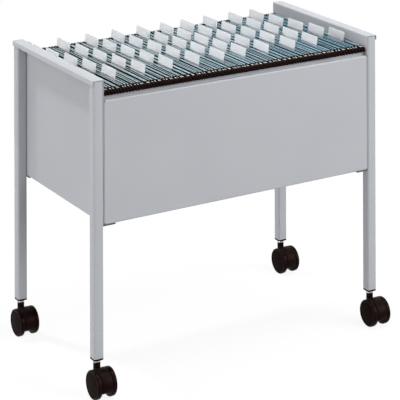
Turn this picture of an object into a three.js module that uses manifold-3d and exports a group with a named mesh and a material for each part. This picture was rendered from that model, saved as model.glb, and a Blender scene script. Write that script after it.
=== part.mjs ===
// Mobile file cart: a light sheet-steel bin on four square-tube legs and twin-wheel castors,
// filled with hanging files whose hooks ride on two folded rails.
// Millimetres, +Z up, X along the cart's width, the front panel towards -Y, the floor at z = 0.

import * as THREE from 'three';
import { mergeVertices } from 'three/addons/utils/BufferGeometryUtils.js';
import Module from 'manifold-3d';

const wasm = await Module();
wasm.setup();

// Overall size
const WIDTH = 655; // over the outer lips of the side panels
const DEPTH = 350; // over the legs, castors not counted
const HEIGHT = 587.5;
const SEAM = 0.3; // gap left between pieces that touch
const OVERCUT = 1; // how far a cutting tool passes the face that it opens

// Legs
const TUBE = 20;
const TUBE_WALL = 1.5;
const TUBE_CORNER = 3;
const TUBE_BOTTOM = 67.5;

// Folded sheet
const SHEET = 1.2;
const BEND_INSIDE = 0.8;
const BEND_OUTSIDE = BEND_INSIDE + SHEET;
const BEND_STEPS = 3;
const PANEL_BOTTOM = 315.5;
const RETURN = 12; // width of the stiffening returns along the lower edges

// Side panels
const LIP_DROP = 10;
const LIP_CLEARANCE = 0.8; // between the lip and the legs
const HEM_END_CLEARANCE = 25; // from the front and back of the cart to the ends of the lower hem

// Front and back panels
const LEDGE_Z = 548;
const RAIL_SPAN = 330; // clear width between the two hook rails
const RAIL_RISE = 12; // height of the hook rail above the ledge
const SIDE_FLANGE = 15;

// Corner brackets
const BRACKET_REACH = 26;
const BRACKET_DEPTH = 27;
const BRACKET_TIP = 8;
const BRACKET_THICKNESS = 2.6;

// Leg plugs and castor stems
const PLUG_FLANGE = 3;
const PLUG_INSERT = 24;
const PLUG_BORE_R = 5.4;
const STEM_PIN_R = 5;
const STEM_PIN_TOP = 18; // length of the pin above the plug's flange
const STEM_RING_R = 6.8;
const STEM_RING_HEIGHT = 2.4;
const SWIVEL_PIN_R = 4;
const SWIVEL_PIN_LENGTH = 13;
const SWIVEL_BORE_R = 4.5;
const STEM_SIDES = 12;

// Castors
const WHEEL_R = 26.5;
const WHEEL_WIDTH = 9.6;
const WHEEL_SHOULDER = 3; // rounding of the outer tread edge
const WHEEL_SIDES = 20;
const RIM_SETBACK = 0.8; // of the outer rim behind the middle of the domed face
const RIM_FLANK = 2; // width of the groove's slope inside the rim
const RIM_GROOVE = 1; // depth of the ring groove in the outer face
const DOME_R = 11; // where the domed face starts to fall away
const DOME_FALL = 0.3;
const HUB_BORE_R = 3.45;
const AXLE_R = 3;
const AXLE_SIDES = 12;
const AXLE_END_CLEARANCE = 2.6; // from the wheel's outer face to the axle's end
const BODY_WIDTH = 21.4;
const HOOD_R = 25.8; // the body's hood, which follows the rims of the wheels
const HOOD_DIP = THREE.MathUtils.degToRad(20); // how far the hood passes the axle's level on both sides
const HOOD_STEPS = 7;
const CORE_R = 20; // the body's core below the hood
const WHEEL_GAP = 0.4; // running gap between a wheel and the body
const TRAIL = 19; // offset from the swivel axis to the axle
const NECK_R = 6.6;
const NECK_BOTTOM = 30; // inside the hood
const NECK_SIDES = 12;

// Hanging files, hung in banks of five
const FILES_PER_BANK = 5;
const BANK_WIDTHS = [66, 64, 61, 60, 56, 49, 56, 64, 52, 71]; // fuller and thinner banks
const BANK_GAP = 0.6;
const BANKS_START_X = -302.5;
const CARD_WIDTH = 315;
const CARD_TOP = 556;
const CARD_BOTTOM = 325.5;
const FOLD_STEPS = 2;
const BAR_THICKNESS = 2;
const BAR_TOP = 566;
const BAR_BOTTOM = 553.5;
const HOOK_BOTTOM = 555.8;
const HOOK_REACH = 8.5; // from the rail's inner face to the hook's tip
const HOOK_NOTCH_CLEARANCE = 1;
const TAB_LENGTH = 54;
const TAB_PITCH = 55;
const TAB_ROOT = 561;
const TAB_HEIGHT = 21;
const TAB_OFFSET = 1.2; // from the middle of the bar to the tab's foot on its left side
const TAB_THICKNESS = 0.8;
const TAB_LEAN = THREE.MathUtils.degToRad(8);

// Places worked out from the sizes above
const LEG_X = WIDTH / 2 - SHEET - LIP_CLEARANCE - TUBE / 2;
const LEG_Y = DEPTH / 2 - TUBE / 2;
const LEG_TOP = HEIGHT - BEND_OUTSIDE;
const WALL_OUTSIDE = LEG_X - TUBE / 2 - SEAM;
const WALL_INSIDE = WALL_OUTSIDE - SHEET;
const RAIL_TOP = LEDGE_Z + RAIL_RISE;
const RAIL_INSIDE = RAIL_SPAN / 2;
const PLUG_BOTTOM = TUBE_BOTTOM - SEAM - PLUG_FLANGE;
const RING_TOP = PLUG_BOTTOM - SEAM;
const RING_BOTTOM = RING_TOP - STEM_RING_HEIGHT;
const NECK_TOP = RING_BOTTOM - SEAM;
const WHEEL_INSIDE = BODY_WIDTH / 2 + WHEEL_GAP;
const WHEEL_OUTSIDE = WHEEL_INSIDE + WHEEL_WIDTH;
const CASTOR_REACH = LEG_Y + TRAIL + WHEEL_R; // front of the trailing wheels
const CENTRING = (CASTOR_REACH - DEPTH / 2) / 2; // puts the origin under the middle of the whole cart

const PAINT = new THREE.MeshStandardMaterial({ color: 0xb6b9be, roughness: 0.45, metalness: 0.1 });
const BRACKET_PAINT = new THREE.MeshStandardMaterial({ color: 0x6d7074, roughness: 0.5, metalness: 0.2 });
const BLACK_PLASTIC = new THREE.MeshStandardMaterial({ color: 0x1a1615, roughness: 0.4, metalness: 0 });
const STEEL = new THREE.MeshStandardMaterial({ color: 0xc9c6c4, roughness: 0.25, metalness: 1 });
const FILE_CARD = new THREE.MeshStandardMaterial({ color: 0x2f5f66, roughness: 0.85, metalness: 0 });

// Solids

function toSolid(geometry) {
  const bare = geometry.clone();
  bare.deleteAttribute('normal');
  bare.deleteAttribute('uv');
  const merged = mergeVertices(bare, 1e-4);
  const index = merged.getIndex().array;
  const triVerts = [];
  for (let i = 0; i < index.length; i += 3) {
    const [a, b, c] = [index[i], index[i + 1], index[i + 2]];
    if (a !== b && b !== c && c !== a) triVerts.push(a, b, c);
  }
  return new wasm.Manifold(new wasm.Mesh({
    numProp: 3,
    vertProperties: new Float32Array(merged.getAttribute('position').array),
    triVerts: new Uint32Array(triVerts),
  }));
}

function toGeometry(solid) {
  const mesh = solid.getMesh();
  const geometry = new THREE.BufferGeometry();
  geometry.setAttribute('position', new THREE.BufferAttribute(mesh.vertProperties, 3));
  geometry.setIndex(new THREE.BufferAttribute(mesh.triVerts, 1));
  geometry.computeVertexNormals();
  return geometry;
}

function join(...geometries) {
  return toGeometry(geometries.map(toSolid).reduce((whole, next) => whole.add(next)));
}

function cut(geometry, ...tools) {
  return toGeometry(tools.map(toSolid).reduce((rest, tool) => rest.subtract(tool), toSolid(geometry)));
}

// A closed outline from corners [x, y, radius], with each corner that has a radius turned into an arc.
function outline(corners, steps = BEND_STEPS) {
  const points = [];
  corners.forEach(([x, y, radius = 0], i) => {
    const corner = new THREE.Vector2(x, y);
    if (radius === 0) {
      points.push(corner);
      return;
    }
    const before = corners[(i + corners.length - 1) % corners.length];
    const after = corners[(i + 1) % corners.length];
    const back = new THREE.Vector2(before[0] - x, before[1] - y).normalize();
    const ahead = new THREE.Vector2(after[0] - x, after[1] - y).normalize();
    const half = Math.acos(back.dot(ahead)) / 2;
    const centre = back.clone().add(ahead).setLength(radius / Math.sin(half)).add(corner);
    const start = back.multiplyScalar(radius / Math.tan(half)).add(corner).sub(centre);
    const end = ahead.multiplyScalar(radius / Math.tan(half)).add(corner).sub(centre);
    const turn = Math.atan2(start.cross(end), start.dot(end));
    for (let step = 0; step <= steps; step += 1) {
      const spoke = start.clone().rotateAround(new THREE.Vector2(), turn * step / steps);
      points.push(spoke.add(centre));
    }
  });
  return new THREE.Shape(points);
}

// Prisms along one axis, drawn in the plane across it: (x, y) for Z, (y, z) for X and (x, z) for Y.
function prismZ(shape, low, high, curveSegments = FOLD_STEPS) {
  const options = { depth: high - low, bevelEnabled: false, curveSegments };
  return new THREE.ExtrudeGeometry(shape, options).translate(0, 0, low);
}

function prismX(shape, low, high, curveSegments = FOLD_STEPS) {
  const axes = new THREE.Matrix4().set(0, 0, 1, 0, 1, 0, 0, 0, 0, 1, 0, 0, 0, 0, 0, 1);
  return prismZ(shape, low, high, curveSegments).applyMatrix4(axes);
}

function prismY(shape, low, high, curveSegments = FOLD_STEPS) {
  return prismZ(shape, -high, -low, curveSegments).rotateX(Math.PI / 2);
}

// A turned piece about Z, from a profile [radius, z] that runs upwards along its outside.
function turned(profile, sides) {
  const points = profile.map(([radius, z]) => new THREE.Vector2(radius, z));
  return new THREE.LatheGeometry(points, sides).rotateX(Math.PI / 2);
}

function rod(radius, low, high, sides) {
  return turned([[0, low], [radius, low], [radius, high], [0, high]], sides);
}

function squareOutline(side, radius) {
  const half = side / 2;
  return outline([[-half, -half, radius], [half, -half, radius], [half, half, radius], [-half, half, radius]]);
}

// Frame

function legTube() {
  const section = squareOutline(TUBE, TUBE_CORNER);
  section.holes.push(squareOutline(TUBE - 2 * TUBE_WALL, TUBE_CORNER - TUBE_WALL));
  return prismZ(section, TUBE_BOTTOM, LEG_TOP);
}

// One folded sheet: a wall on the inner faces of the legs, a top that covers their ends,
// a lip that hangs down outside them, and a hem along the wall's lower edge.
function sidePanel(side) {
  const lip = WIDTH / 2;
  const under = HEIGHT - SHEET;
  const fold = outline([
    [WALL_INSIDE, PANEL_BOTTOM],
    [WALL_OUTSIDE, PANEL_BOTTOM],
    [WALL_OUTSIDE, under, BEND_INSIDE],
    [lip - SHEET, under, BEND_INSIDE],
    [lip - SHEET, HEIGHT - LIP_DROP],
    [lip, HEIGHT - LIP_DROP],
    [lip, HEIGHT, BEND_OUTSIDE],
    [WALL_INSIDE, HEIGHT, BEND_OUTSIDE],
  ]);
  const hem = outline([
    [WALL_INSIDE - RETURN, PANEL_BOTTOM],
    [WALL_OUTSIDE - SHEET / 2, PANEL_BOTTOM],
    [WALL_OUTSIDE - SHEET / 2, PANEL_BOTTOM + SHEET],
    [WALL_INSIDE - RETURN, PANEL_BOTTOM + SHEET],
  ]);
  const hemEnd = DEPTH / 2 - HEM_END_CLEARANCE;
  const panel = join(prismY(fold, -DEPTH / 2, DEPTH / 2), prismY(hem, -hemEnd, hemEnd));
  return side < 0 ? panel.rotateZ(Math.PI) : panel;
}

// One folded sheet for the front: a face between flanges that lie on the side panels, a ledge along
// its top, the hook rail that stands on the ledge, and a return along the lower edge.
function hookPanel() {
  const face = -DEPTH / 2;
  const flange = WALL_INSIDE - SEAM;
  const channel = outline([
    [-flange, face + SIDE_FLANGE],
    [-flange, face, BEND_OUTSIDE],
    [flange, face, BEND_OUTSIDE],
    [flange, face + SIDE_FLANGE],
    [flange - SHEET, face + SIDE_FLANGE],
    [flange - SHEET, face + SHEET, BEND_INSIDE],
    [-flange + SHEET, face + SHEET, BEND_INSIDE],
    [-flange + SHEET, face + SIDE_FLANGE],
  ]);
  const profile = outline([
    [face + RETURN, PANEL_BOTTOM],
    [face + RETURN, PANEL_BOTTOM + SHEET],
    [face + SHEET, PANEL_BOTTOM + SHEET, BEND_INSIDE],
    [face + SHEET, LEDGE_Z - SHEET, BEND_INSIDE],
    [-RAIL_INSIDE, LEDGE_Z - SHEET, BEND_OUTSIDE],
    [-RAIL_INSIDE, RAIL_TOP],
    [-RAIL_INSIDE - SHEET, RAIL_TOP],
    [-RAIL_INSIDE - SHEET, LEDGE_Z, BEND_INSIDE],
    [face, LEDGE_Z, BEND_OUTSIDE],
    [face, PANEL_BOTTOM, BEND_OUTSIDE],
  ]);
  const reach = flange - BEND_OUTSIDE;
  return join(
    prismZ(channel, PANEL_BOTTOM + BEND_OUTSIDE, LEDGE_Z - BEND_OUTSIDE),
    prismX(profile, -reach, reach),
  );
}

// A flat corner plate on the inner face of a leg, under the lower edges of both panels.
function cornerBracket(sideX, sideY) {
  const x = WALL_OUTSIDE;
  const y = DEPTH / 2 - SHEET;
  const plate = outline([
    [x, y],
    [x - BRACKET_REACH, y],
    [x - BRACKET_REACH, y - BRACKET_TIP],
    [x - BRACKET_TIP, y - BRACKET_DEPTH],
    [x, y - BRACKET_DEPTH],
  ].map(([px, py]) => [px * sideX, py * sideY]));
  const top = PANEL_BOTTOM - SEAM;
  return prismZ(plate, top - BRACKET_THICKNESS, top);
}

// Feet

// A plastic plug: a square flange under the tube, an insert inside it and a bore for the stem.
function legPlug() {
  const insertSide = TUBE - 2 * TUBE_WALL - 2 * SEAM;
  const flangeTop = PLUG_BOTTOM + PLUG_FLANGE;
  const insertTop = flangeTop + PLUG_INSERT;
  const flange = prismZ(squareOutline(TUBE, TUBE_CORNER), PLUG_BOTTOM, flangeTop);
  const insert = prismZ(squareOutline(insertSide, TUBE_WALL), PLUG_BOTTOM + PLUG_FLANGE / 2, insertTop);
  const bore = rod(PLUG_BORE_R, PLUG_BOTTOM - OVERCUT, insertTop + OVERCUT, STEM_SIDES);
  return cut(join(flange, insert), bore);
}

// A steel stem: a pin in the plug, a bright ring against its flange and the pin the castor swivels on.
function castorStem() {
  return turned([
    [0, NECK_TOP - SWIVEL_PIN_LENGTH],
    [SWIVEL_PIN_R, NECK_TOP - SWIVEL_PIN_LENGTH],
    [SWIVEL_PIN_R, RING_BOTTOM],
    [STEM_RING_R, RING_BOTTOM],
    [STEM_RING_R, RING_TOP],
    [STEM_PIN_R, RING_TOP],
    [STEM_PIN_R, PLUG_BOTTOM + PLUG_FLANGE + STEM_PIN_TOP],
    [0, PLUG_BOTTOM + PLUG_FLANGE + STEM_PIN_TOP],
  ], STEM_SIDES);
}

// The castor's body: a round neck on the swivel pin, and a drum between the wheels, with a hood that
// follows their rims over the top and a smaller core that stays off the floor.
function castorBody() {
  const drum = new THREE.Shape();
  drum.absarc(-TRAIL, WHEEL_R, HOOD_R, -HOOD_DIP, Math.PI + HOOD_DIP, false);
  drum.absarc(-TRAIL, WHEEL_R, CORE_R, Math.PI + HOOD_DIP, 2 * Math.PI - HOOD_DIP, false);
  const web = prismX(drum, -BODY_WIDTH / 2, BODY_WIDTH / 2, HOOD_STEPS);
  const neck = rod(NECK_R, NECK_BOTTOM, NECK_TOP, NECK_SIDES);
  const boreBottom = NECK_TOP - SWIVEL_PIN_LENGTH - OVERCUT;
  const swivelBore = rod(SWIVEL_BORE_R, boreBottom, NECK_TOP + OVERCUT, STEM_SIDES);
  const axleBore = rod(HUB_BORE_R, -BODY_WIDTH, BODY_WIDTH, AXLE_SIDES).rotateY(Math.PI / 2);
  axleBore.translate(0, -TRAIL, WHEEL_R);
  return cut(join(web, neck), swivelBore, axleBore);
}

function axlePin() {
  const end = WHEEL_OUTSIDE - AXLE_END_CLEARANCE;
  return rod(AXLE_R, -end, end, AXLE_SIDES).rotateY(Math.PI / 2).translate(0, -TRAIL, WHEEL_R);
}

// A wheel with a rounded tread and a domed outer face inside a ring groove, bored from its inner side.
function castorWheel(side) {
  const rim = WHEEL_OUTSIDE - RIM_SETBACK;
  const boreEnd = WHEEL_OUTSIDE - AXLE_END_CLEARANCE + WHEEL_GAP;
  const bevel = WHEEL_SHOULDER * (1 - Math.SQRT1_2);
  const wheel = turned([
    [0, boreEnd],
    [HUB_BORE_R, boreEnd],
    [HUB_BORE_R, WHEEL_INSIDE],
    [WHEEL_R, WHEEL_INSIDE],
    [WHEEL_R, rim - WHEEL_SHOULDER],
    [WHEEL_R - bevel, rim - bevel],
    [WHEEL_R - WHEEL_SHOULDER, rim],
    [WHEEL_R - WHEEL_SHOULDER - RIM_FLANK, rim - RIM_GROOVE],
    [DOME_R, WHEEL_OUTSIDE - DOME_FALL],
    [0, WHEEL_OUTSIDE],
  ], WHEEL_SIDES);
  wheel.rotateY(Math.PI / 2);
  if (side < 0) wheel.rotateZ(Math.PI);
  return wheel.translate(0, -TRAIL, WHEEL_R);
}

// Files

// The outline of one file bar, seen along the cart: a flat bar with a hook at each end that drops
// over the rail.
function hookBarOutline() {
  const notchInside = RAIL_INSIDE - HOOK_NOTCH_CLEARANCE;
  const notchOutside = RAIL_INSIDE + SHEET + HOOK_NOTCH_CLEARANCE;
  const tip = RAIL_INSIDE + HOOK_REACH;
  const half = [
    [notchInside, BAR_BOTTOM],
    [notchInside, RAIL_TOP + SEAM],
    [notchOutside, RAIL_TOP + SEAM],
    [notchOutside, HOOK_BOTTOM],
    [tip, HOOK_BOTTOM],
    [tip, BAR_TOP],
  ];
  const mirrored = half.map(([y, z]) => [-y, z]).reverse();
  return outline([...half, ...mirrored]);
}

// Five full files side by side: card pockets pressed together with rounded folds below, two hook bars
// on each pocket, and one label tab on each file, a step nearer the front on every next file.
function fileBank(width) {
  const pitch = width / FILES_PER_BANK;
  const radius = pitch / 2;
  const pockets = new THREE.Shape();
  pockets.moveTo(width, CARD_TOP);
  pockets.lineTo(0, CARD_TOP);
  const pieces = [];
  for (let file = 0; file < FILES_PER_BANK; file += 1) {
    const middle = pitch * (file + 0.5);
    pockets.absarc(middle, CARD_BOTTOM + radius, radius, Math.PI, 2 * Math.PI, false);
    const bars = [middle - pitch / 4, middle + pitch / 4];
    bars.forEach((x) => {
      pieces.push(prismX(hookBarOutline(), x - BAR_THICKNESS / 2, x + BAR_THICKNESS / 2));
    });
    const tab = new THREE.BoxGeometry(TAB_THICKNESS, TAB_LENGTH, TAB_HEIGHT);
    tab.translate(0, 0, TAB_HEIGHT / 2).rotateY(TAB_LEAN);
    tab.translate(bars[0] - TAB_OFFSET, RAIL_INSIDE - TAB_PITCH * (file + 0.5), TAB_ROOT);
    pieces.push(tab);
  }
  const block = prismY(pockets, -CARD_WIDTH / 2, CARD_WIDTH / 2);
  return join(block, ...pieces);
}

// The cart

function piece(name, geometry, material) {
  const mesh = new THREE.Mesh(geometry, material);
  mesh.name = name;
  return mesh;
}

function castor(name) {
  const group = new THREE.Group();
  group.add(
    piece(`${name}_castor_stem`, castorStem(), STEEL),
    piece(`${name}_castor_body`, castorBody(), BLACK_PLASTIC),
    piece(`${name}_castor_axle`, axlePin(), STEEL),
    piece(`${name}_castor_left_wheel`, castorWheel(-1), BLACK_PLASTIC),
    piece(`${name}_castor_right_wheel`, castorWheel(1), BLACK_PLASTIC),
  );
  return group;
}

const cart = new THREE.Group();
cart.position.y = CENTRING;

const CORNERS = [
  ['front_left', -1, -1],
  ['front_right', 1, -1],
  ['back_left', -1, 1],
  ['back_right', 1, 1],
];
CORNERS.forEach(([name, sideX, sideY]) => {
  const corner = new THREE.Group();
  corner.position.set(sideX * LEG_X, sideY * LEG_Y, 0);
  corner.add(
    piece(`${name}_leg`, legTube(), PAINT),
    piece(`${name}_leg_plug`, legPlug(), BLACK_PLASTIC),
    castor(name),
  );
  cart.add(corner);
  cart.add(piece(`${name}_bracket`, cornerBracket(sideX, sideY), BRACKET_PAINT));
});

cart.add(piece('left_side_panel', sidePanel(-1), PAINT));
cart.add(piece('right_side_panel', sidePanel(1), PAINT));
cart.add(piece('front_panel', hookPanel(), PAINT));
const backPanel = piece('back_panel', hookPanel(), PAINT);
backPanel.rotation.z = Math.PI;
cart.add(backPanel);

let bankStart = BANKS_START_X;
BANK_WIDTHS.forEach((width, i) => {
  const bank = piece(`file_bank_${String(i + 1).padStart(2, '0')}`, fileBank(width), FILE_CARD);
  bank.position.x = bankStart;
  cart.add(bank);
  bankStart += width + BANK_GAP;
});

export default cart;
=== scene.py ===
"""The look of a mobile file cart: powder-coated sheet steel on square legs and twin-wheel castors,
filled with hanging files. Metres, +Z up, the front panel towards -Y, the floor at z = 0."""
import math

import bmesh
import bpy
from mathutils import Matrix, Vector


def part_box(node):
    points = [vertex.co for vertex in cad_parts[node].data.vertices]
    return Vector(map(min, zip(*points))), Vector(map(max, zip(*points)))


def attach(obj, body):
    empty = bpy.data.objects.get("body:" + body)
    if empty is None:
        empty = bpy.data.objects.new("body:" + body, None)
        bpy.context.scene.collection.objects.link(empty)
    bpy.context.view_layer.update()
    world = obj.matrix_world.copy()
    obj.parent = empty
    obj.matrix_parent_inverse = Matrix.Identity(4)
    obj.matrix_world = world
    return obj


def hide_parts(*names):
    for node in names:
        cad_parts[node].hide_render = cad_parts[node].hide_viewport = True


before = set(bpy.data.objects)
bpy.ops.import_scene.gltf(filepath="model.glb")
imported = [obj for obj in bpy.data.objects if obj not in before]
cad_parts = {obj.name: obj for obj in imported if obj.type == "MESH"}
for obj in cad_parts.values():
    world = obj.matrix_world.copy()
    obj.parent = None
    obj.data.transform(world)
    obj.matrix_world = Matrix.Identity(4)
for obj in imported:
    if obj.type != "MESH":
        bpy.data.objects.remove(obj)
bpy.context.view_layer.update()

MM = 0.001
WELD_DISTANCE = 0.001 * MM
SPENT_EDGE = 0.0001 * MM
BREAK_ANGLE = math.radians(40)
# Angles in degrees up to which an edge is shaded smooth
CARD_SMOOTH = 60
WHEEL_SMOOTH = 50

# Folded sheet
SHEET = 1.2 * MM
BEND = 1.4 * MM
LEDGE_BEND = 2 * MM
BEND_STEPS = 4
SHEET_EDGE = 0.25 * MM
TOP_WIDTH = 23.5 * MM
LIP_DROP = 10 * MM
SHEET_RETURN = 12 * MM
HEM_END_CLEARANCE = 25 * MM
RAIL_RISE = 12 * MM
RAIL_SETBACK = 10 * MM
SIDE_FLANGE = 15 * MM
CORNER_RELIEF = 2 * MM

# Legs and feet
TUBE_WALL = 1.5 * MM
TUBE_CORNER = 3 * MM
CORNER_STEPS = 5
PLUG_FLANGE = 3 * MM
PLUG_EDGE = 0.4 * MM
INSERT_START = 2.7 * MM
INSERT_INSET = 1.8 * MM
BRACKET_TIP = 8 * MM
BRACKET_EDGE = 0.3 * MM
SCREW_ACROSS = 12 * MM
SCREW_ALONG = 8 * MM
SCREW_R = 3.2 * MM
SCREW_HEIGHT = 1.6 * MM
SCREW_SEAT = 0.5 * MM
# Shares of the screw head's radius and height, from its socket outwards
SCREW_HEAD = [(0, 0.4), (0.35, 0.4), (0.4, 1), (0.75, 0.8), (1, 0.2)]

# Castors
WHEEL_STEPS = 72
STEM_STEPS = 32
RING_R = 7 * MM
RING_TOP = 62.4 * MM
RING_BOTTOM = 59 * MM
PIN_R = 5 * MM
PIN_EDGE = 0.4 * MM
SWIVEL_PIN_R = 4 * MM
SWIVEL_GAP = 0.3 * MM
SWIVEL_BORE_R = 4.5 * MM
SWIVEL_BORE_DEPTH = 2 * MM
NECK_R = 6.9 * MM
NECK_BOTTOM = 30 * MM
NECK_EDGE = 0.5 * MM
HOOD_R = 26.8 * MM
HOOD_DIP = math.radians(20)
HOOD_STEPS = 44
CORE_R = 20 * MM
CORE_STEPS = 22
BODY_WIDTH = 21.4 * MM
BODY_EDGE = 0.9 * MM
HUB_BORE_R = 3.4 * MM
TREAD_ROUND = 1.2 * MM
RIM_ROUND = 2.4 * MM
RIM_SETBACK = 0.3 * MM
CAP_SEAT = 1.3 * MM
CAP_SINK = 0.2 * MM
# Insets from the tread and setbacks behind the rim, going inwards
GROOVE = [(3.5 * MM, 0.1 * MM), (4.2 * MM, 0.9 * MM), (4.4 * MM, CAP_SEAT)]
CAP_DOME = [(4.6 * MM, 0.9 * MM), (5.5 * MM, 0.6 * MM), (10 * MM, 0.2 * MM), (16 * MM, -0.1 * MM),
            (21 * MM, -0.25 * MM)]

# Hanging files, with heights from the top of the hook rail
FILES_PER_BANK = 5
CARD = 0.5 * MM
CARD_WIDTH = 315 * MM
CARD_CLEARANCE = 0.8 * MM
CARD_SHOULDER = 24 * MM
CARD_LAP = 2 * MM
FOLD_ANGLE = 60
FOLD_SHARE = 0.95
FOLD_STEPS = 4
PAPER_WIDTH = 297 * MM
PAPER_CLEARANCE = 1.6 * MM
PAPER_TOP = -34 * MM
SHEAVES = 3
SHEAF_GAP = 0.2 * MM
BAR_TOP = 6 * MM
BAR_THICKNESS = 1.0 * MM
BAR_CLOSING = 2.0 * MM
BAR_LENGTH = 322 * MM
BAR_TIP_LENGTH = 6 * MM
BAR_TIP_LAP = 3.3 * MM
# Height of the pale strip on top of each bar that carries the painted highlight
BEAD_HEIGHT = 0.5 * MM
CARD_HEM_THICKNESS = 1.9 * MM
CARD_HEM_BOTTOM = -6 * MM
CARD_HEM_LENGTH = 318 * MM
HOOK_THICKNESS = 4.2 * MM
HOOK_REACH = 8.5 * MM
HOOK_EDGE = 0.4 * MM
# Millimetres outwards from the rail and above its top, with the notch that drops over the rail
HOOK_OUTLINE = [(-9, -5), (-1, -5), (-1, 0.4), (2.2, 0.4), (2.2, -4.2), (8.5, -4.2),
                (8.5, 3), (6, 5.2), (-3, 5.2), (-3.6, 6.6), (-9, 6.6)]
TAB_ROOT = 1 * MM
TAB_HEIGHT = 22.5 * MM
TAB_LENGTH = 57 * MM
TAB_PITCH = 55 * MM
TAB_THICKNESS = 0.8 * MM
TAB_OFFSET = 1.2 * MM
TAB_LEAN = math.radians(8)
TAB_CORNER = 1.5 * MM
SLEEVE_EDGE = 0.2 * MM
LABEL_FOOT = 1.5 * MM
LABEL_MARGIN = 0.5 * MM
LABEL_THICKNESS = 1 * MM

# Unevenness of the files
BANK_PHASE = 1.7
STEP_PHASE = 2.4
RIGHT_BAR_STEP = 7
BAR_UNEVEN = 0.2 * MM
PAPER_TOP_UNEVEN = 4 * MM
PAPER_END_UNEVEN = 2 * MM
TAB_UNEVEN = 1.5 * MM
LEAN_UNEVEN = math.radians(2)

# Finishes
NOISE_LOW = 0.3
NOISE_HIGH = 0.7
PAINT_SHINE = 0.15
PLASTIC_TINT = (1, 0.62, 0.55, 1)
FIBRE_STRETCH = (1, 0.25, 1)
LEAF_STRETCH = (1, 0.02, 0.02)
LABEL_GLOW_DEPTH = 10 * MM
SLEEVE_CLEARNESS = 0.55
SLEEVE_INDEX = 1.46

# Floor and light
BACKDROP_LIGHT = 0.25
FLOOR_REACH = 20
FLOOR_BOUNCE = 0.4
FLOOR_WHITE = 0.97
SHADOW_SHARE = 0.1
SHADOW_NEAR = 0.4
SHADOW_FAR = 2.5
LIGHT_AIM = (0, 0, 0.4)

# Camera, fitted to the edges of the panels and legs in the photograph
CAMERA_PLACE = (-1.9046, -3.17435, 1.5357)
CAMERA_HEADING = math.radians(31.009)
CAMERA_SLOPE = 0.34414
CAMERA_ROLL = math.radians(-0.165)
CAMERA_FAR = 100
FOCAL_PIXELS = 1823.2
PICTURE_PIXELS = 400
SENSOR_WIDTH = 36.0

BANKS = sorted(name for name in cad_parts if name.startswith("file_bank_"))
CORNERS = ("front_left", "front_right", "back_left", "back_right")
RAIL_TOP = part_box("front_panel")[1].z
# Span across the cart of the pockets' dye and of the bar edges' painted highlight
DYE_AND_HIGHLIGHT_SPAN = (-0.3, 0.3)
# Heights of the label over which its painted shade fades to white
LABEL_SHADE_SPAN = (RAIL_TOP + TAB_ROOT, RAIL_TOP + TAB_ROOT + TAB_HEIGHT)


# Shaping

def new_verts(made):
    return [v for v in made["geom"] if isinstance(v, bmesh.types.BMVert)]


def fold(bm, edge, offset):
    """Pulls a new strip of sheet out of an edge and returns the strip's far edge."""
    made = bmesh.ops.extrude_edge_only(bm, edges=[edge])
    verts = new_verts(made)
    bmesh.ops.translate(bm, verts=verts, vec=offset)
    return bm.edges.get(verts)


def pull(bm, faces, offset):
    """Pulls faces out into a solid."""
    made = bmesh.ops.extrude_face_region(bm, geom=faces)
    bmesh.ops.translate(bm, verts=new_verts(made), vec=offset)


def prism(bm, outline, offset):
    """A plate: a face through the outline's points, pulled out by offset."""
    pull(bm, [bm.faces.new([bm.verts.new(point) for point in outline])], offset)


def sharp_edges(bm, degrees=30):
    return [e for e in bm.edges if e.is_manifold and e.calc_face_angle() > math.radians(degrees)]


def round_edges(bm, edges, radius, segments):
    bmesh.ops.bevel(bm, geom=edges, offset=radius, offset_type="OFFSET", segments=segments, profile=0.5,
                    affect="EDGES", clamp_overlap=True, material=-1)


def rounded_square(bm, centre, side, radius):
    """A level square face with round corners."""
    made = bmesh.ops.create_grid(bm, x_segments=1, y_segments=1, size=side / 2,
                                 matrix=Matrix.Translation(centre))
    bmesh.ops.bevel(bm, geom=made["verts"], offset=radius, offset_type="OFFSET", segments=CORNER_STEPS,
                    profile=0.5, affect="VERTICES", material=-1)


def quarter_round(radius, steps):
    """Points of a rounded corner, as insets from the first face and from the second."""
    turns = [math.pi / 2 * step / steps for step in range(steps + 1)]
    return [(radius * (1 - math.cos(turn)), radius * (1 - math.sin(turn))) for turn in turns]


def turned(bm, profile, centre, axis, steps):
    """A turned solid: profile lists (radius, distance along the axis from centre)."""
    axis = Vector(axis)
    side = axis.orthogonal().normalized()
    verts = [bm.verts.new(centre + side * radius + axis * along) for radius, along in profile]
    edges = [bm.edges.new(pair) for pair in zip(verts, verts[1:])]
    bmesh.ops.spin(bm, geom=verts + edges, cent=centre, axis=axis, dvec=(0, 0, 0), angle=2 * math.pi,
                   steps=steps, use_merge=True)
    bmesh.ops.remove_doubles(bm, verts=bm.verts, dist=WELD_DISTANCE)
    bmesh.ops.dissolve_degenerate(bm, dist=SPENT_EDGE, edges=bm.edges)
    bmesh.ops.recalc_face_normals(bm, faces=bm.faces)


def take_in(bm, other):
    """Adds another shape to this one."""
    scratch = bpy.data.meshes.new("scratch")
    other.to_mesh(scratch)
    other.free()
    bm.from_mesh(scratch)
    bpy.data.meshes.remove(scratch)


def piece(name, bm, body, material, replaces=None, smooth=35):
    """Turns the shape into an object that rides on a body and may stand for a node."""
    bmesh.ops.recalc_face_normals(bm, faces=bm.faces)
    mesh = bpy.data.meshes.new(name)
    bm.to_mesh(mesh)
    bm.free()
    mesh.shade_smooth()
    mesh.set_sharp_from_angle(angle=math.radians(smooth))
    mesh.materials.append(material)
    obj = bpy.data.objects.new(name, mesh)
    bpy.context.scene.collection.objects.link(obj)
    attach(obj, body)
    if replaces:
        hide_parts(replaces)
    return obj


def soften(obj, width, segments=2):
    """Breaks the sharp edges of a piece."""
    rim = obj.modifiers.new("broken_edges", "BEVEL")
    rim.width = width
    rim.segments = segments
    rim.limit_method = "ANGLE"
    rim.angle_limit = BREAK_ANGLE
    rim.harden_normals = True


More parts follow.
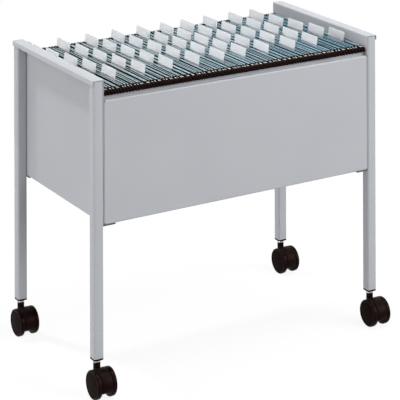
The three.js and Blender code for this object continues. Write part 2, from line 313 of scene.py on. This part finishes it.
def thicken(obj, thickness, offset):
    """Gives a sheet its thickness."""
    wall = obj.modifiers.new("thickness", "SOLIDIFY")
    wall.thickness = thickness
    wall.offset = offset
    wall.use_even_offset = True


# Finishes

def start_material(name):
    material = bpy.data.materials.new(name)
    material.use_nodes = True
    shader = material.node_tree.nodes["Principled BSDF"]
    return material, material.node_tree.nodes, material.node_tree.links, shader


def grain(nodes, links, scale, detail=3.0, stretch=(1, 1, 1)):
    """Noise that sits in the piece, in spots of about 1 / scale metres."""
    place = nodes.new("ShaderNodeTexCoord")
    mapping = nodes.new("ShaderNodeMapping")
    mapping.inputs["Scale"].default_value = stretch
    noise = nodes.new("ShaderNodeTexNoise")
    noise.inputs["Scale"].default_value = scale
    noise.inputs["Detail"].default_value = detail
    links.new(place.outputs["Object"], mapping.inputs["Vector"])
    links.new(mapping.outputs["Vector"], noise.inputs["Vector"])
    return noise.outputs["Fac"]


def blend_colours(nodes, links, factor, low, high):
    ramp = nodes.new("ShaderNodeValToRGB")
    ramp.color_ramp.elements[0].position = NOISE_LOW
    ramp.color_ramp.elements[0].color = (*low, 1)
    ramp.color_ramp.elements[1].position = NOISE_HIGH
    ramp.color_ramp.elements[1].color = (*high, 1)
    links.new(factor, ramp.inputs["Fac"])
    return ramp.outputs["Color"]


def vary(nodes, links, factor, low, high):
    span = nodes.new("ShaderNodeMapRange")
    span.inputs["To Min"].default_value = low
    span.inputs["To Max"].default_value = high
    links.new(factor, span.inputs["Value"])
    return span.outputs["Result"]


def add_bump(nodes, links, shader, height, strength, distance):
    bump = nodes.new("ShaderNodeBump")
    bump.inputs["Strength"].default_value = strength
    bump.inputs["Distance"].default_value = distance
    links.new(height, bump.inputs["Height"])
    links.new(bump.outputs["Normal"], shader.inputs["Normal"])


def powder_coat(name, low, high, rough):
    """Smooth paint with a faint mottle and the fine ripple of a baked coat."""
    material, nodes, links, shader = start_material(name)
    mottle = grain(nodes, links, scale=9)
    links.new(blend_colours(nodes, links, mottle, low, high), shader.inputs["Base Color"])
    links.new(vary(nodes, links, mottle, low=rough - 0.02, high=rough + 0.04), shader.inputs["Roughness"])
    shader.inputs["Specular IOR Level"].default_value = PAINT_SHINE
    ripple = grain(nodes, links, scale=500, detail=2)
    add_bump(nodes, links, shader, ripple, strength=0.05, distance=0.05 * MM)
    return material


def moulded_plastic(name, low, high, rough, shine):
    """Dark moulded plastic with a fine spark-eroded grain."""
    material, nodes, links, shader = start_material(name)
    cloud = grain(nodes, links, scale=60)
    links.new(blend_colours(nodes, links, cloud, low, high), shader.inputs["Base Color"])
    links.new(vary(nodes, links, cloud, low=rough - 0.05, high=rough + 0.08), shader.inputs["Roughness"])
    shader.inputs["Specular IOR Level"].default_value = shine
    shader.inputs["Specular Tint"].default_value = PLASTIC_TINT
    spark = grain(nodes, links, scale=2600, detail=2)
    add_bump(nodes, links, shader, spark, strength=0.2, distance=0.03 * MM)
    return material


def bright_zinc(name, low, high, rough):
    """Plated steel with a slightly cloudy shine."""
    material, nodes, links, shader = start_material(name)
    shader.inputs["Metallic"].default_value = 1.0
    bloom = grain(nodes, links, scale=300)
    links.new(blend_colours(nodes, links, bloom, low, high), shader.inputs["Base Color"])
    links.new(vary(nodes, links, bloom, low=rough, high=rough + 0.12), shader.inputs["Roughness"])
    return material


def graded_card(name, axis, span, start, end, dark_fibre, rough, shine):
    """Card whose colour goes from start to end over a span of one of its axes: the dye of the pockets, the
    painted highlight of the bar edges and the painted shade of the labels.
    """
    material, nodes, links, shader = start_material(name)
    place = nodes.new("ShaderNodeTexCoord")
    split = nodes.new("ShaderNodeSeparateXYZ")
    links.new(place.outputs["Object"], split.inputs["Vector"])
    along = nodes.new("ShaderNodeMapRange")
    along.inputs["From Min"].default_value, along.inputs["From Max"].default_value = span
    links.new(split.outputs[axis], along.inputs["Value"])
    graded_colour = nodes.new("ShaderNodeMix")
    graded_colour.data_type = "RGBA"
    graded_colour.inputs["A"].default_value = (*start, 1)
    graded_colour.inputs["B"].default_value = (*end, 1)
    links.new(along.outputs["Result"], graded_colour.inputs["Factor"])
    fibre = grain(nodes, links, scale=260, detail=4, stretch=FIBRE_STRETCH)
    shade = nodes.new("ShaderNodeMix")
    shade.data_type = "RGBA"
    shade.blend_type = "MULTIPLY"
    shade.inputs["Factor"].default_value = 1.0
    links.new(graded_colour.outputs["Result"], shade.inputs["A"])
    links.new(blend_colours(nodes, links, fibre, (dark_fibre,) * 3, (1, 1, 1)), shade.inputs["B"])
    links.new(shade.outputs["Result"], shader.inputs["Base Color"])
    shader.inputs["Specular IOR Level"].default_value = shine
    links.new(vary(nodes, links, fibre, low=rough - 0.05, high=rough + 0.1), shader.inputs["Roughness"])
    add_bump(nodes, links, shader, fibre, strength=0.25, distance=0.05 * MM)
    return material


def glowing_label_painted_shade(name, foot, head):
    """White label with painted shade, greyer towards its foot where the tabs beside it and the bars behind
    it shade it, thin enough to glow with the light behind it.
    """
    material = graded_card(name, "Z", LABEL_SHADE_SPAN, foot, head, dark_fibre=0.95, rough=0.75, shine=0.5)
    shader = material.node_tree.nodes["Principled BSDF"]
    shader.inputs["Subsurface Weight"].default_value = 1.0
    shader.inputs["Subsurface Radius"].default_value = (1, 1, 1)
    shader.inputs["Subsurface Scale"].default_value = LABEL_GLOW_DEPTH
    return material


def stacked_paper(name, low, high):
    """Uncoated paper, with the faint lines of leaves lying against each other."""
    material, nodes, links, shader = start_material(name)
    leaves = grain(nodes, links, scale=900, detail=2, stretch=LEAF_STRETCH)
    links.new(blend_colours(nodes, links, leaves, low, high), shader.inputs["Base Color"])
    links.new(vary(nodes, links, leaves, low=0.7, high=0.9), shader.inputs["Roughness"])
    add_bump(nodes, links, shader, leaves, strength=0.3, distance=0.05 * MM)
    return material


def milky_plastic(name, low, high):
    """Thin clouded plastic that lets a little of what is behind it through."""
    material, nodes, links, shader = start_material(name)
    cloud = grain(nodes, links, scale=45)
    links.new(blend_colours(nodes, links, cloud, low, high), shader.inputs["Base Color"])
    links.new(vary(nodes, links, cloud, low=0.2, high=0.3), shader.inputs["Roughness"])
    shader.inputs["Transmission Weight"].default_value = SLEEVE_CLEARNESS
    shader.inputs["IOR"].default_value = SLEEVE_INDEX
    scuff = grain(nodes, links, scale=1200, detail=2)
    add_bump(nodes, links, shader, scuff, strength=0.1, distance=0.03 * MM)
    return material


GREY_PAINT = powder_coat("light_grey_powder_coat", low=(0.435, 0.447, 0.474), high=(0.45, 0.462, 0.489),
                         rough=0.7)
# The bracket plates are darker than the frame: partly their own paint and partly painted shade, matching
# the dark line under the panel corners
BRACKET_SHADE_GREY = powder_coat("dark_grey_bracket_with_painted_shade", low=(0.1, 0.104, 0.112),
                            high=(0.13, 0.134, 0.142), rough=0.3)
BLACK_PLASTIC = moulded_plastic("black_moulded_plastic", low=(0.0035, 0.0013, 0.0011),
                                high=(0.006, 0.0024, 0.002), rough=0.42, shine=0.055)
WHEEL_PLASTIC = moulded_plastic("wheel_plastic", low=(0.006, 0.0024, 0.0021),
                                high=(0.0095, 0.004, 0.0036), rough=0.45, shine=0.016)
RIM_PLASTIC = moulded_plastic("polished_rim_plastic", low=(0.0045, 0.0018, 0.0016),
                              high=(0.0072, 0.003, 0.0026), rough=0.28, shine=0.045)
HOOK_PLASTIC = moulded_plastic("hook_plastic", low=(0.005, 0.0025, 0.0022),
                               high=(0.009, 0.0045, 0.004), rough=0.4, shine=0.04)
BRIGHT_STEEL = bright_zinc("bright_zinc_stem", low=(0.4, 0.385, 0.375), high=(0.5, 0.48, 0.47), rough=0.18)
BAR_STEEL = bright_zinc("dull_bar_steel", low=(0.62, 0.57, 0.55), high=(0.78, 0.72, 0.7), rough=0.5)
AXLE_STEEL = bright_zinc("plain_axle_steel", low=(0.45, 0.45, 0.45), high=(0.55, 0.55, 0.55), rough=0.3)
# The files' card is dyed teal, greener at the left and bluer at the right, and made nearly black as
# painted shade in the deep gaps between the files
POCKET_CARD = graded_card("pocket_card", "X", DYE_AND_HIGHLIGHT_SPAN, start=(0.01, 0.022, 0.022), end=(0.01, 0.05, 0.075),
                        dark_fibre=0.7, rough=0.7, shine=0.1)
# Painted highlight: the pale strip on top of each bar stands for the shine of the light on the rounded
# card hem, paler at the left where the reflection lines up
BAR_HIGHLIGHT_EDGE = graded_card("bar_edge_painted_highlight", "X", DYE_AND_HIGHLIGHT_SPAN, start=(0.72, 0.87, 0.91), end=(0.36, 0.58, 0.69),
                     dark_fibre=0.9, rough=0.55, shine=0.5)
PAPER_EDGES = stacked_paper("paper_edges", low=(0.5, 0.5, 0.48), high=(0.68, 0.68, 0.66))
# Painted shade: the label is greyer at its foot, where the tabs beside it and the dark bars behind it
# shade it
LABEL_CARD = glowing_label_painted_shade("blank_label_card_painted_shade", foot=(0.68, 0.7, 0.78), head=(0.93, 0.945, 0.985))
TAB_PLASTIC = milky_plastic("tab_plastic", low=(0.62, 0.7, 0.74), high=(0.72, 0.78, 0.82))


# Frame

def side_panel(side):
    """One folded sheet: lip, top, wall and hem, pulled out of each other edge by edge."""
    name = "left_side_panel" if side < 0 else "right_side_panel"
    low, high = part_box(name)
    lip = side * (max(abs(low.x), abs(high.x)) - SHEET / 2)
    wall = lip - side * (TOP_WIDTH - SHEET)
    top = high.z - SHEET / 2
    bm = bmesh.new()
    ends = [bm.verts.new((lip, y, high.z - LIP_DROP)) for y in (low.y, high.y)]
    edge = fold(bm, bm.edges.new(ends), (0, 0, LIP_DROP - SHEET / 2))
    edge = fold(bm, edge, (wall - lip, 0, 0))
    fold(bm, edge, (0, 0, low.z + SHEET / 2 - top))
    for y in (low.y + HEM_END_CLEARANCE, high.y - HEM_END_CLEARANCE):
        bmesh.ops.bisect_plane(bm, geom=bm.verts[:] + bm.edges[:] + bm.faces[:], plane_co=(0, y, 0),
                               plane_no=(0, 1, 0))
    middle = (low.y + high.y) / 2
    hem_edge = min((e for e in bm.edges if e.is_boundary), key=lambda e: sum(
        abs(v.co.z - low.z) + abs(v.co.y - middle) for v in e.verts))
    fold(bm, hem_edge, (-side * SHEET_RETURN, 0, 0))
    round_edges(bm, sharp_edges(bm), BEND, BEND_STEPS)
    panel = piece(name + "_sheet", bm, "cart", GREY_PAINT, name)
    thicken(panel, SHEET, 0)
    soften(panel, SHEET_EDGE)


def hook_panel(name, inward):
    """One folded sheet: a face with relieved corners, flanges, a return, a ledge and the hook rail."""
    low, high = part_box(name)
    face_y = (low.y if inward > 0 else high.y) + inward * SHEET / 2
    half = high.x - SHEET / 2
    bottom = low.z + SHEET / 2
    ledge = high.z - RAIL_RISE - SHEET / 2
    r = CORNER_RELIEF
    outline = [(half - r, bottom), (half - r, bottom + r), (half, bottom + r),
               (half, ledge - r), (half - r, ledge - r), (half - r, ledge)]
    outline += [(-x, z) for x, z in reversed(outline)]
    bm = bmesh.new()
    verts = [bm.verts.new((x, face_y, z)) for x, z in outline]
    bm.faces.new(verts)
    # The outline's points are numbered anticlockwise from the lower right
    right, left, lower, upper = (bm.edges.get((verts[first], verts[second]))
                                 for first, second in ((2, 3), (8, 9), (11, 0), (5, 6)))
    for end in (right, left):
        fold(bm, end, (0, inward * (SIDE_FLANGE - SHEET / 2), 0))
    fold(bm, lower, (0, inward * (SHEET_RETURN - SHEET / 2), 0))
    rail_foot = fold(bm, upper, (0, inward * (RAIL_SETBACK - SHEET), 0))
    fold(bm, rail_foot, (0, 0, high.z - ledge))
    round_edges(bm, [upper], LEDGE_BEND, 2 * BEND_STEPS)
    round_edges(bm, sharp_edges(bm), BEND, BEND_STEPS)
    panel = piece(name + "_sheet", bm, "cart", GREY_PAINT, name)
    thicken(panel, SHEET, 0)
    soften(panel, SHEET_EDGE)


def leg(corner):
    """Square tube with round corners."""
    name = corner + "_leg"
    low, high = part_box(name)
    centre = (low + high) / 2
    bm = bmesh.new()
    rounded_square(bm, Vector((centre.x, centre.y, low.z)), high.x - low.x, TUBE_CORNER)
    bmesh.ops.delete(bm, geom=bm.faces[:], context="FACES_ONLY")
    made = bmesh.ops.extrude_edge_only(bm, edges=bm.edges[:])
    bmesh.ops.translate(bm, verts=new_verts(made), vec=(0, 0, high.z - low.z))
    tube = piece(name + "_tube", bm, "cart", GREY_PAINT, name)
    thicken(tube, TUBE_WALL, -1)
    soften(tube, SHEET_EDGE)


def bracket(corner):
    """Flat corner plate with a round-headed screw under it."""
    name = corner + "_bracket"
    low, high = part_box(name)
    across = 1 if low.x < 0 else -1
    along = 1 if low.y < 0 else -1
    corner_x, tip_x = (low.x, high.x) if across > 0 else (high.x, low.x)
    corner_y, tip_y = (low.y, high.y) if along > 0 else (high.y, low.y)
    outline = [(corner_x, corner_y), (tip_x, corner_y), (tip_x, corner_y + along * BRACKET_TIP),
               (corner_x + across * BRACKET_TIP, tip_y), (corner_x, tip_y)]
    bm = bmesh.new()
    prism(bm, [(x, y, low.z) for x, y in outline], (0, 0, high.z - low.z))
    plate = piece(name + "_plate", bm, "cart", BRACKET_SHADE_GREY, name)
    soften(plate, BRACKET_EDGE)
    head = [(SCREW_R * out, -SCREW_HEIGHT * down) for out, down in SCREW_HEAD]
    place = Vector((corner_x + across * SCREW_ACROSS, corner_y + along * SCREW_ALONG, low.z))
    bm = bmesh.new()
    turned(bm, head + [(SCREW_R, SCREW_SEAT), (0, SCREW_SEAT)], place, (0, 0, 1), STEM_STEPS)
    piece(name + "_screw", bm, "cart", AXLE_STEEL)


# Feet

def plug(corner):
    """Black end plug: a square flange that shows under the tube, and its insert."""
    name = corner + "_leg_plug"
    low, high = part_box(name)
    side = high.x - low.x
    foot = Vector(((low.x + high.x) / 2, (low.y + high.y) / 2, low.z))
    bm = bmesh.new()
    rounded_square(bm, foot, side, TUBE_CORNER)
    pull(bm, bm.faces[:], (0, 0, PLUG_FLANGE))
    insert = bmesh.new()
    rounded_square(insert, foot + Vector((0, 0, INSERT_START)), side - 2 * INSERT_INSET, TUBE_WALL)
    pull(insert, insert.faces[:], (0, 0, high.z - low.z - INSERT_START))
    take_in(bm, insert)
    flange = piece(name + "_moulding", bm, "cart", BLACK_PLASTIC, name)
    soften(flange, PLUG_EDGE)


def stem(corner):
    """Bright pin with a ring against the plug, and the swivel pin below it."""
    name = corner + "_castor_stem"
    low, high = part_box(name)
    foot = Vector(((low.x + high.x) / 2, (low.y + high.y) / 2, 0))
    bm = bmesh.new()
    turned(bm, [(0, low.z), (SWIVEL_PIN_R, low.z), (SWIVEL_PIN_R, RING_BOTTOM), (RING_R, RING_BOTTOM),
                (RING_R, RING_TOP), (PIN_R, RING_TOP), (PIN_R, high.z), (0, high.z)],
           foot, (0, 0, 1), STEM_STEPS)
    round_edges(bm, sharp_edges(bm), PIN_EDGE, segments=2)
    piece(name + "_pin", bm, "cart", BRIGHT_STEEL, name)


def castor_body(corner):
    """Round neck on a drum between the wheels: a hood over the top and a smaller core below it."""
    name = corner + "_castor_body"
    top = RING_BOTTOM - SWIVEL_GAP
    stem_low, stem_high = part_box(corner + "_castor_stem")
    swivel = (stem_low + stem_high) / 2
    swivel.z = 0
    axle_low, axle_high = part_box(corner + "_castor_axle")
    left = (axle_low + axle_high) / 2 - Vector((BODY_WIDTH / 2, 0, 0))
    back = Vector((0, math.cos(HOOD_DIP), -math.sin(HOOD_DIP)))
    front = Vector((0, -math.cos(HOOD_DIP), -math.sin(HOOD_DIP)))
    bm = bmesh.new()
    ends = []
    for radius, start, sweep, steps in ((HOOD_R, back, math.pi + 2 * HOOD_DIP, HOOD_STEPS),
                                        (CORE_R, front, math.pi - 2 * HOOD_DIP, CORE_STEPS)):
        first = bm.verts.new(left + start * radius)
        arc = bmesh.ops.spin(bm, geom=[first], cent=left, axis=(1, 0, 0), dvec=(0, 0, 0), angle=sweep,
                             steps=steps)
        ends += [first, next(v for v in arc["geom_last"] if isinstance(v, bmesh.types.BMVert))]
    bm.edges.new((ends[1], ends[2]))
    bm.edges.new((ends[3], ends[0]))
    bmesh.ops.contextual_create(bm, geom=bm.edges[:])
    pull(bm, bm.faces[:], (BODY_WIDTH, 0, 0))
    bmesh.ops.recalc_face_normals(bm, faces=bm.faces)
    round_edges(bm, sharp_edges(bm), BODY_EDGE, segments=3)
    neck = bmesh.new()
    bore_end = top - SWIVEL_BORE_DEPTH
    turned(neck, [(0, NECK_BOTTOM), (NECK_R, NECK_BOTTOM), (NECK_R, top), (SWIVEL_BORE_R, top),
                  (SWIVEL_BORE_R, bore_end), (0, bore_end)], swivel, (0, 0, 1), STEM_STEPS)
    round_edges(neck, sharp_edges(neck), NECK_EDGE, segments=2)
    take_in(bm, neck)
    piece(name + "_moulding", bm, corner + "_castor", BLACK_PLASTIC, name)


def wheel(corner, side):
    """Wheel: a tyre with a rounded tread and rim, and a domed cap in the groove inside the rim."""
    name = "{}_castor_{}_wheel".format(corner, side)
    low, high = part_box(name)
    middle = (low + high) / 2
    radius = (high.z - low.z) / 2
    width = high.x - low.x
    outward = -1 if side == "left" else 1
    inside = Vector((high.x if outward < 0 else low.x, middle.y, middle.z))
    rim = width - RIM_SETBACK
    seat = rim - CAP_SEAT
    tread = [(radius - inset, depth) for depth, inset in quarter_round(TREAD_ROUND, 2)]
    face = [(radius - inset, rim - setback) for inset, setback in quarter_round(RIM_ROUND, 4) + GROOVE]
    dome = [(radius - inset, rim - setback) for inset, setback in CAP_DOME]
    tyre = [(HUB_BORE_R, seat), (HUB_BORE_R, 0)] + tread + face + [(HUB_BORE_R, seat)]
    cap = [(0, seat - CAP_SINK), (dome[0][0], seat - CAP_SINK)] + dome + [(0, width)]
    for part, profile, material in (("tyre", tyre, RIM_PLASTIC), ("cap", cap, WHEEL_PLASTIC)):
        bm = bmesh.new()
        turned(bm, profile, inside, (outward, 0, 0), WHEEL_STEPS)
        piece("{}_{}".format(name, part), bm, name, material, name, smooth=WHEEL_SMOOTH)


# Files

def file_places(bank):
    """The middle of each file across the bank, with the pitch of the files."""
    low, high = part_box(bank)
    pitch = (high.x - low.x) / FILES_PER_BANK
    return [low.x + pitch * (i + 0.5) for i in range(FILES_PER_BANK)], pitch


def hook_places(bank):
    """The two hooks on each end of each file, evenly spread over the bank."""
    places, pitch = file_places(bank)
    return [x + s * pitch / 4 for x in places for s in (-1, 1)]


def bar_places(bank):
    """The two bars of each file, which lean a little unevenly towards each other."""
    hooks = hook_places(bank)
    closing = BAR_CLOSING / 2
    left = [x + closing + sway(bank, i, closing) for i, x in enumerate(hooks[::2])]
    right = [x - closing + sway(bank, i + RIGHT_BAR_STEP, closing) for i, x in enumerate(hooks[1::2])]
    return list(zip(left, right))


def sway(bank, step, amount):
    """A small repeatable unevenness between -amount and amount."""
    return amount * math.sin(int(bank[-2:]) * BANK_PHASE + step * STEP_PHASE)


def pockets(bank):
    """Card folders: each falls from its two bars, swells with paper and folds round at the bottom."""
    low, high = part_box(bank)
    places, pitch = file_places(bank)
    middle = (low.y + high.y) / 2
    start = RAIL_TOP + CARD_HEM_BOTTOM + CARD_LAP
    half = pitch / 2 - CARD_CLEARANCE
    bm = bmesh.new()
    for x, (left, right) in zip(places, bar_places(bank)):
        ends = [bm.verts.new((left, middle + s * CARD_WIDTH / 2, start)) for s in (-1, 1)]
        edge = fold(bm, bm.edges.new(ends), (x - half - left, 0, -CARD_SHOULDER))
        edge = fold(bm, edge, (0, 0, low.z - start + CARD_SHOULDER))
        edge = fold(bm, edge, (2 * half, 0, 0))
        edge = fold(bm, edge, (0, 0, start - CARD_SHOULDER - low.z))
        fold(bm, edge, (right - x - half, 0, CARD_SHOULDER))
    round_edges(bm, sharp_edges(bm, FOLD_ANGLE), half * FOLD_SHARE, FOLD_STEPS)
    card = piece(bank + "_pockets", bm, bank, POCKET_CARD, bank, smooth=CARD_SMOOTH)
    thicken(card, CARD, 0)


def papers(bank):
    """Sheaves of paper standing unevenly in the pockets."""
    low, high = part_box(bank)
    places, pitch = file_places(bank)
    front = (low.y + high.y - PAPER_WIDTH) / 2
    half = pitch / 2 - PAPER_CLEARANCE
    thickness = 2 * half / SHEAVES
    bm = bmesh.new()
    for i, x in enumerate(places):
        for sheaf in range(SHEAVES):
            left = x - half + sheaf * thickness
            right = left + thickness - SHEAF_GAP
            top = RAIL_TOP + PAPER_TOP + sway(bank, i * 2 + sheaf * 3, PAPER_TOP_UNEVEN)
            start = front + sway(bank, i + sheaf * 2, PAPER_END_UNEVEN)
            outline = [(left, low.z + half), (right, low.z + half), (right, top), (left, top)]
            prism(bm, [(px, start, pz) for px, pz in outline], (0, PAPER_WIDTH, 0))
    piece(bank + "_papers", bm, bank, PAPER_EDGES)


def strip_outline(middle, half, bottom, top):
    """Section of a strip on edge, with its upper edges broken."""
    return [(middle - half, bottom), (middle + half, bottom), (middle + half, top - half / 2),
            (middle + half / 2, top), (middle - half / 2, top), (middle - half, top - half / 2)]


def hems(bank):
    """The pocket's card folded round each bar."""
    low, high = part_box(bank)
    front = (low.y + high.y - CARD_HEM_LENGTH) / 2
    top = RAIL_TOP + BAR_TOP - BEAD_HEIGHT
    bottom = RAIL_TOP + CARD_HEM_BOTTOM
    bm = bmesh.new()
    for bar in sum(bar_places(bank), ()):
        outline = strip_outline(bar, CARD_HEM_THICKNESS / 2, bottom, top)
        prism(bm, [(x, front, z) for x, z in outline], (0, CARD_HEM_LENGTH, 0))
    piece(bank + "_hems", bm, bank, POCKET_CARD, smooth=CARD_SMOOTH)


def bars(bank):
    """The pale top edges of the bars, a painted highlight of the light on the rounded hems, and the bare
    tips of the bars on the hooks.
    """
    low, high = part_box(bank)
    front = (low.y + high.y - BAR_LENGTH) / 2
    top = RAIL_TOP + BAR_TOP
    edges = bmesh.new()
    tips = bmesh.new()
    for i, bar in enumerate(sum(bar_places(bank), ())):
        half = BAR_THICKNESS / 2 + sway(bank, i, BAR_UNEVEN)
        outline = strip_outline(bar, half, top - BEAD_HEIGHT, top)
        prism(edges, [(x, front, z) for x, z in outline], (0, BAR_LENGTH, 0))
        for rail, outward in ((low.y + HOOK_REACH, -1), (high.y - HOOK_REACH, 1)):
            inner = rail - outward * BAR_TIP_LAP
            prism(tips, [(x, inner, z) for x, z in outline], (0, outward * BAR_TIP_LENGTH, 0))
    piece(bank + "_bars", edges, bank, BAR_HIGHLIGHT_EDGE, smooth=CARD_SMOOTH)
    piece(bank + "_bar_tips", tips, bank, BAR_STEEL, smooth=CARD_SMOOTH)


def hooks(bank):
    """Dark hooks on both ends of every bar, dropped over the rails."""
    low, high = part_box(bank)
    bm = bmesh.new()
    for hook in hook_places(bank):
        left = hook - HOOK_THICKNESS / 2
        for rail, outward in ((low.y + HOOK_REACH, -1), (high.y - HOOK_REACH, 1)):
            outline = [(left, rail + outward * reach * MM, RAIL_TOP + rise * MM)
                       for reach, rise in HOOK_OUTLINE]
            prism(bm, outline, (HOOK_THICKNESS, 0, 0))
    bmesh.ops.recalc_face_normals(bm, faces=bm.faces)
    round_edges(bm, sharp_edges(bm), HOOK_EDGE, segments=1)
    piece(bank + "_hooks", bm, bank, HOOK_PLASTIC)


def tab_plate(bm, foot, lean, length, low, high, thickness):
    """A leaning plate with rounded upper corners, standing on foot."""
    turn = Matrix.Rotation(lean, 3, "Y")
    side = [(length / 2, low)]
    side += [(length / 2 - inset, high - drop) for inset, drop in quarter_round(TAB_CORNER, 2)]
    outline = side + [(-y, z) for y, z in reversed(side)]
    points = [foot + turn @ Vector((-thickness / 2, y, z)) for y, z in outline]
    prism(bm, points, turn @ Vector((thickness, 0, 0)))


def tabs(bank):
    """One tab on the left bar of each file, a step nearer the front on every next file: a milky sleeve
    clipped to the bar, and a blank label card in it."""
    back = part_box(bank)[1].y - HOOK_REACH
    sleeves = bmesh.new()
    labels = bmesh.new()
    for i, (bar, _) in enumerate(bar_places(bank)):
        middle = back - TAB_PITCH * (i + 0.5) + sway(bank, i, TAB_UNEVEN)
        foot = Vector((bar - TAB_OFFSET, middle, RAIL_TOP + TAB_ROOT))
        lean = TAB_LEAN + sway(bank, i + 1, LEAN_UNEVEN)
        tab_plate(sleeves, foot, lean, TAB_LENGTH, 0, TAB_HEIGHT, TAB_THICKNESS)
        tab_plate(labels, foot, lean, TAB_LENGTH - 2 * LABEL_MARGIN, LABEL_FOOT, TAB_HEIGHT - LABEL_MARGIN,
                  LABEL_THICKNESS)
    sleeve = piece(bank + "_tab_sleeves", sleeves, bank, TAB_PLASTIC)
    soften(sleeve, SLEEVE_EDGE, segments=1)
    piece(bank + "_tab_labels", labels, bank, LABEL_CARD)


# Stage

def seen_rays(nodes, links):
    """1 for rays that show the background: from the eye, in reflections and through clear plastic."""
    path = nodes.new("ShaderNodeLightPath")
    either = nodes.new("ShaderNodeMath")
    either.operation = "MAXIMUM"
    links.new(path.outputs["Is Camera Ray"], either.inputs[0])
    links.new(path.outputs["Is Glossy Ray"], either.inputs[1])
    any_of = nodes.new("ShaderNodeMath")
    any_of.operation = "MAXIMUM"
    links.new(either.outputs["Value"], any_of.inputs[0])
    links.new(path.outputs["Is Transmission Ray"], any_of.inputs[1])
    return any_of.outputs["Value"]


def diffuse(nodes, level):
    node = nodes.new("ShaderNodeBsdfDiffuse")
    node.inputs["Color"].default_value = (level, level, level, 1)
    return node.outputs["BSDF"]


def mix_shaders(nodes, links, factor, first, second):
    mix = nodes.new("ShaderNodeMixShader")
    links.new(factor, mix.inputs["Fac"])
    links.new(first, mix.inputs[1])
    links.new(second, mix.inputs[2])
    return mix.outputs["Shader"]


def floor():
    """Pale floor: white to the eye, with a share of its real shading that keeps the cart's shadow."""
    material, nodes, links, shader = start_material("pale_floor")
    nodes.remove(shader)
    white = nodes.new("ShaderNodeEmission")
    place = nodes.new("ShaderNodeTexCoord")
    reach = nodes.new("ShaderNodeVectorMath")
    reach.operation = "LENGTH"
    links.new(place.outputs["Object"], reach.inputs[0])
    fade = nodes.new("ShaderNodeMapRange")
    fade.interpolation_type = "SMOOTHSTEP"
    fade.inputs["From Min"].default_value = SHADOW_NEAR
    fade.inputs["From Max"].default_value = SHADOW_FAR
    fade.inputs["To Min"].default_value = SHADOW_SHARE
    fade.inputs["To Max"].default_value = 0
    links.new(reach.outputs["Value"], fade.inputs["Value"])
    shown = mix_shaders(nodes, links, fade.outputs["Result"], white.outputs["Emission"],
                        diffuse(nodes, FLOOR_WHITE))
    surface = mix_shaders(nodes, links, seen_rays(nodes, links), diffuse(nodes, FLOOR_BOUNCE), shown)
    links.new(surface, nodes["Material Output"].inputs["Surface"])
    bm = bmesh.new()
    bmesh.ops.create_grid(bm, x_segments=1, y_segments=1, size=FLOOR_REACH)
    mesh = bpy.data.meshes.new("floor")
    bm.to_mesh(mesh)
    bm.free()
    mesh.materials.append(material)
    obj = bpy.data.objects.new("floor", mesh)
    bpy.context.scene.collection.objects.link(obj)


def surroundings():
    """White backdrop, with softer light from it on the cart."""
    world = bpy.data.worlds.new("studio")
    bpy.context.scene.world = world
    world.use_nodes = True
    nodes, links = world.node_tree.nodes, world.node_tree.links
    background = nodes["Background"]
    background.inputs["Color"].default_value = (1, 1, 1, 1)
    strength = vary(nodes, links, seen_rays(nodes, links), low=BACKDROP_LIGHT, high=1.0)
    links.new(strength, background.inputs["Strength"])


def softbox(name, place, size, power):
    """A flat lamp of a width and height in metres, turned to the cart."""
    data = bpy.data.lights.new(name, "AREA")
    data.shape = "RECTANGLE"
    data.size, data.size_y = size
    data.energy = power
    lamp = bpy.data.objects.new(name, data)
    lamp.location = place
    lamp.rotation_euler = (Vector(LIGHT_AIM) - Vector(place)).to_track_quat("-Z", "Y").to_euler()
    bpy.context.scene.collection.objects.link(lamp)


def view_camera():
    """A camera whose picture plane stays upright while its line of sight slopes down, as on a view
    camera with its lens dropped, so that upright edges stay parallel as they do in the photograph."""
    ahead = Vector((math.sin(CAMERA_HEADING), math.cos(CAMERA_HEADING), 0))
    right = Vector((math.cos(CAMERA_HEADING), -math.sin(CAMERA_HEADING), 0))
    up = Vector((0, 0, 1))
    across = right * math.cos(CAMERA_ROLL) + up * math.sin(CAMERA_ROLL)
    upright = up * math.cos(CAMERA_ROLL) - right * math.sin(CAMERA_ROLL)
    sight = ahead - upright * CAMERA_SLOPE
    data = bpy.data.cameras.new("camera")
    data.sensor_width = SENSOR_WIDTH
    data.lens = FOCAL_PIXELS * sight.length / PICTURE_PIXELS * SENSOR_WIDTH
    data.clip_end = CAMERA_FAR
    camera = bpy.data.objects.new("camera", data)
    stand = bpy.data.objects.new("camera_stand", None)
    for obj in (camera, stand):
        bpy.context.scene.collection.objects.link(obj)
    columns = Matrix((across, upright, -sight.normalized())).transposed()
    camera.parent = stand
    camera.matrix_parent_inverse = Matrix.Translation(CAMERA_PLACE) @ columns.to_4x4()
    bpy.context.scene.camera = camera


for side in (-1, 1):
    side_panel(side)
hook_panel("front_panel", 1)
hook_panel("back_panel", -1)
for corner in CORNERS:
    leg(corner)
    bracket(corner)
    plug(corner)
    stem(corner)
    castor_body(corner)
    for side in ("left", "right"):
        wheel(corner, side)
    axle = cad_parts[corner + "_castor_axle"]
    axle.data.materials.clear()
    axle.data.materials.append(AXLE_STEEL)
for bank in BANKS:
    pockets(bank)
    papers(bank)
    hems(bank)
    bars(bank)
    hooks(bank)
    tabs(bank)

floor()
surroundings()
softbox("front_right_light", place=(3.05, -3.6, 2.6), size=(3.0, 3.0), power=197)
softbox("front_left_light", place=(-3.3, -3.3, 3.0), size=(1.8, 1.8), power=33)
softbox("left_light", place=(-4.4, -0.6, 0.35), size=(1.4, 0.6), power=65)
softbox("back_left_light", place=(-4.1, 2.05, 1.4), size=(1.4, 1.4), power=20)
softbox("back_light", place=(-1.2, 2.1, 3.3), size=(0.25, 0.25), power=80)
softbox("top_light", place=(0.8, -0.7, 3.2), size=(1.2, 1.2), power=44)
view_camera()

bpy.context.scene.view_settings.view_transform = "Standard"
